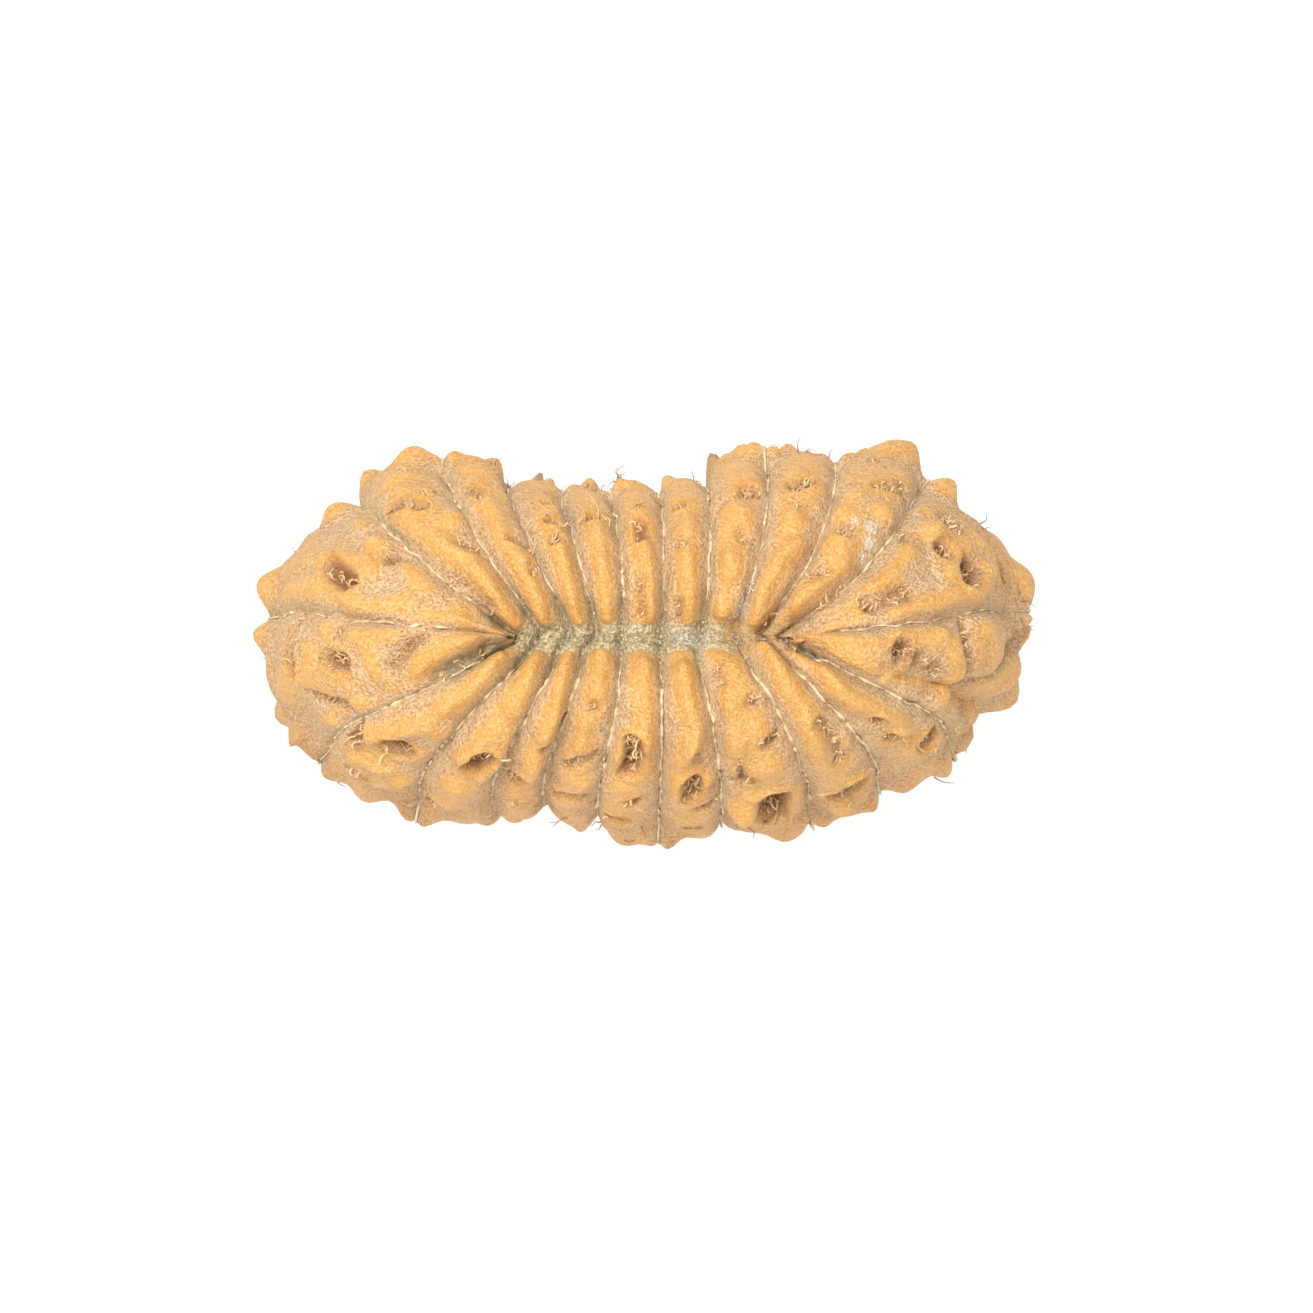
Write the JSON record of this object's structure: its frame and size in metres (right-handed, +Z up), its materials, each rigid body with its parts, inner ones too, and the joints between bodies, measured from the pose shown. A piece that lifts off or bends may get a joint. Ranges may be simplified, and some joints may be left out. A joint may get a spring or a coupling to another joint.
{
  "type": "rudraksha seed",
  "caption": "Oblong woody bead seed with radiating lobes, furrows, knobs and pits, resting on a small flat scar.",
  "frame": {"origin": "middle of the flat scar under the seed, on the surface that it rests on", "axes": "+X along the long axis, +Y from the pictured front towards the hollow back, +Z up through the top seam"},
  "size_m": [0.0401, 0.0209, 0.0252],
  "materials": {
    "stone": "semi-matt woody stone, ochre with grey-green furrows"
  },
  "bodies": {
    "root": {"rudraksha_stone": "stone"}
  },
  "joints": []
}
